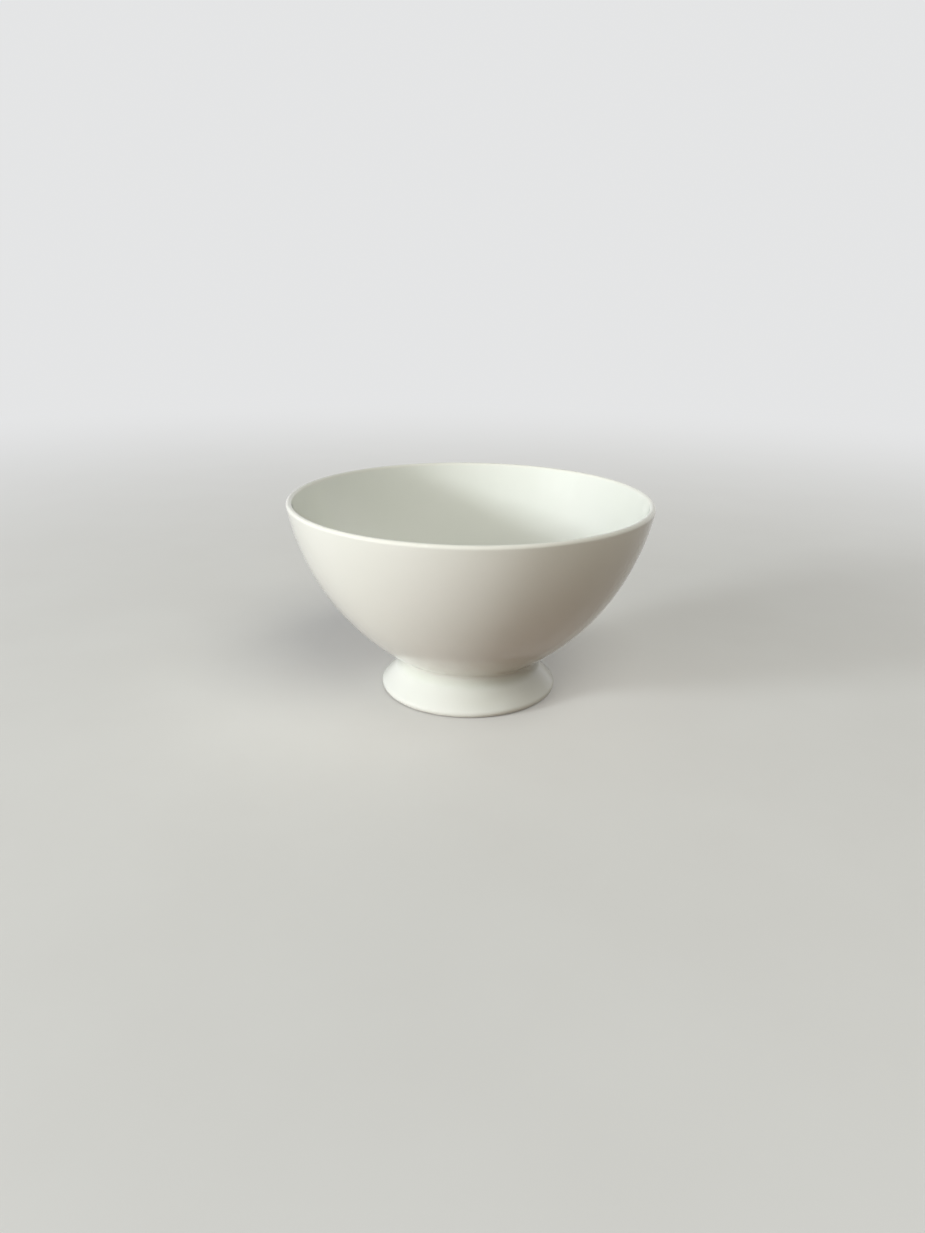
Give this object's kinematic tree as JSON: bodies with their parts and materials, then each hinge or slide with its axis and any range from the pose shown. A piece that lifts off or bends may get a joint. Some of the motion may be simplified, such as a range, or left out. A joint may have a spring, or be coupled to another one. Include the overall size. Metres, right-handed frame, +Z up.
{
  "type": "latte bowl",
  "caption": "Footed latte bowl in glazed white porcelain: thin rounded lip, evenly curved belly, coved neck and a hollow flared foot.",
  "frame": {"origin": "centre of the foot ring's resting plane, on the bowl's axis", "axes": "+Z up along the bowl's axis of revolution, from the foot to the lip; X and Y span the table"},
  "size_m": [0.14, 0.14, 0.0775],
  "materials": {
    "bare_porcelain": "matt biscuit under the glaze",
    "bare_foot": "matt, wiped clean of glaze and slightly rubbed",
    "slip": "matt fired slip",
    "glaze": "glossy clear glaze, warm white with a faint green cast",
    "glaze_hollow": "glossy clear glaze, slightly uneven"
  },
  "bodies": {
    "root": {"bowl_body": "bare_porcelain", "pedestal_foot": "bare_foot", "luting_slip": "slip", "glaze_coat": "glaze", "glaze_under_foot": "glaze_hollow"}
  },
  "joints": []
}
